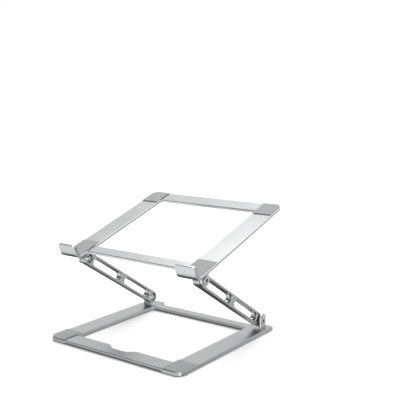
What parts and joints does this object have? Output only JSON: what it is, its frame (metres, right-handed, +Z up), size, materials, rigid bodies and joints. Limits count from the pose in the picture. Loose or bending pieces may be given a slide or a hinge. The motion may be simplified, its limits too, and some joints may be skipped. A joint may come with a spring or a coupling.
{
  "type": "laptop stand",
  "caption": "Folding laptop stand: open flat base, slotted arms on friction hinges, and an open tilting tray with pads and front hooks.",
  "frame": {"origin": "on the table, under the middle of the outline of the stand as it is set here", "axes": "+X to the user's right, +Y away from the user, from the hooks to the rear edge, +Z up"},
  "size_m": [0.236, 0.2372, 0.1819],
  "materials": {
    "silver_aluminium": "fine bead-blasted and clear anodised",
    "bright_aluminium": "fine bead-blasted and clear anodised, bright chamfers",
    "grey_silicone": "soft matt silicone",
    "black_rubber": "matt",
    "satin_steel": "satin",
    "dark_steel": "oiled",
    "black_nylon": "matt"
  },
  "bodies": {
    "base": {"base_frame": "silver_aluminium", "base_pad_left": "grey_silicone", "base_bracket_left": "satin_steel", "foot_front_left": "black_rubber", "foot_rear_left": "black_rubber", "base_screw_front_left": "dark_steel", "base_screw_rear_left": "dark_steel", "lower_pin_left": "satin_steel", "lower_friction_washer_left": "black_nylon", "lower_spring_washer_left": "dark_steel", "lower_lock_nut_left": "dark_steel", "base_pad_right": "grey_silicone", "base_bracket_right": "satin_steel", "foot_front_right": "black_rubber", "foot_rear_right": "black_rubber", "base_screw_front_right": "dark_steel", "base_screw_rear_right": "dark_steel", "lower_pin_right": "satin_steel", "lower_friction_washer_right": "black_nylon", "lower_spring_washer_right": "dark_steel", "lower_lock_nut_right": "dark_steel"},
    "left_arm": {"arm_left": "silver_aluminium"},
    "right_arm": {"arm_right": "silver_aluminium"},
    "upper_pivots": {"upper_pin_left": "satin_steel", "upper_friction_washer_left": "black_nylon", "upper_spring_washer_left": "dark_steel", "upper_lock_nut_left": "dark_steel", "upper_pin_right": "satin_steel", "upper_friction_washer_right": "black_nylon", "upper_spring_washer_right": "dark_steel", "upper_lock_nut_right": "dark_steel"},
    "tray": {"tray_frame": "bright_aluminium", "tray_pad_front_left": "grey_silicone", "tray_pad_rear_left": "grey_silicone", "tray_bracket_left": "satin_steel", "tray_screw_front_left": "dark_steel", "tray_screw_rear_left": "dark_steel", "tray_pad_front_right": "grey_silicone", "tray_pad_rear_right": "grey_silicone", "tray_bracket_right": "satin_steel", "tray_screw_front_right": "dark_steel", "tray_screw_rear_right": "dark_steel"}
  },
  "joints": [
    {"name": "arm_lift", "type": "hinge", "parent": "base", "child": "left_arm", "pos_m": [0, 0.08161, 0.0182], "axis": [-1, 0, 0], "range_deg": [-32.7, 57.3]},
    {"name": "arm_lift_right", "type": "hinge", "parent": "base", "child": "right_arm", "pos_m": [0, 0.08161, 0.0182], "axis": [-1, 0, 0], "range_deg": [-32.7, 57.3]},
    {"name": "pivot_level", "type": "hinge", "parent": "left_arm", "child": "upper_pivots", "pos_m": [0, -0.05724, 0.10734], "axis": [1, 0, 0], "range_deg": [-32.7, 57.3]},
    {"name": "tray_tilt", "type": "hinge", "parent": "upper_pivots", "child": "tray", "pos_m": [0, -0.05724, 0.10734], "axis": [1, 0, 0], "range_deg": [-17.8, 27.2]}
  ],
  "couplings": [
    {"joint": "arm_lift_right", "follows": "arm_lift", "ratio": 1},
    {"joint": "pivot_level", "follows": "arm_lift", "ratio": 1}
  ]
}
